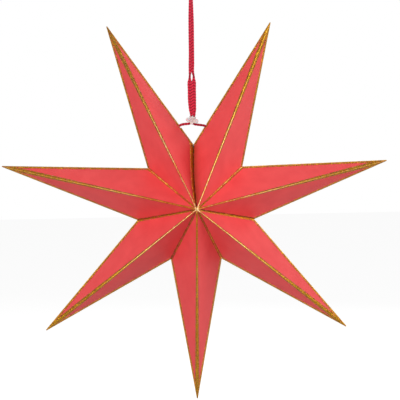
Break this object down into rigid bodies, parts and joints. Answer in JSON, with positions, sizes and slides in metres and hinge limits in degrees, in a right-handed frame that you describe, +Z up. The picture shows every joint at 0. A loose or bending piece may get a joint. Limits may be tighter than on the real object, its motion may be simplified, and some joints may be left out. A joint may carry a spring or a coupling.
{
  "type": "paper star",
  "caption": "Folded red card star with hollow pointed spikes, gold glitter along its folds, hanging from a braided cord loop with a clear clip.",
  "frame": {"origin": "inside top of the hanging loop, where the cord rests on a hook", "axes": "+Z up, the star's flat mid-plane lies in XZ and its front faces -Y"},
  "size_m": [0.6004, 0.1708, 0.6613],
  "materials": {
    "red_card": "matte",
    "gold_glitter": "sparkling glitter",
    "clip_plastic": "milky translucent",
    "braided_cord": "soft braid"
  },
  "bodies": {
    "root": {"spike_1": "red_card", "spike_2": "red_card", "spike_3": "red_card", "spike_4": "red_card", "spike_5": "red_card", "spike_6": "red_card", "spike_7": "red_card", "glitter_1": "gold_glitter", "glitter_2": "gold_glitter", "glitter_3": "gold_glitter", "glitter_4": "gold_glitter", "glitter_5": "gold_glitter", "glitter_6": "gold_glitter", "glitter_7": "gold_glitter", "cord_clip": "clip_plastic", "hanging_cord": "braided_cord"}
  },
  "joints": []
}
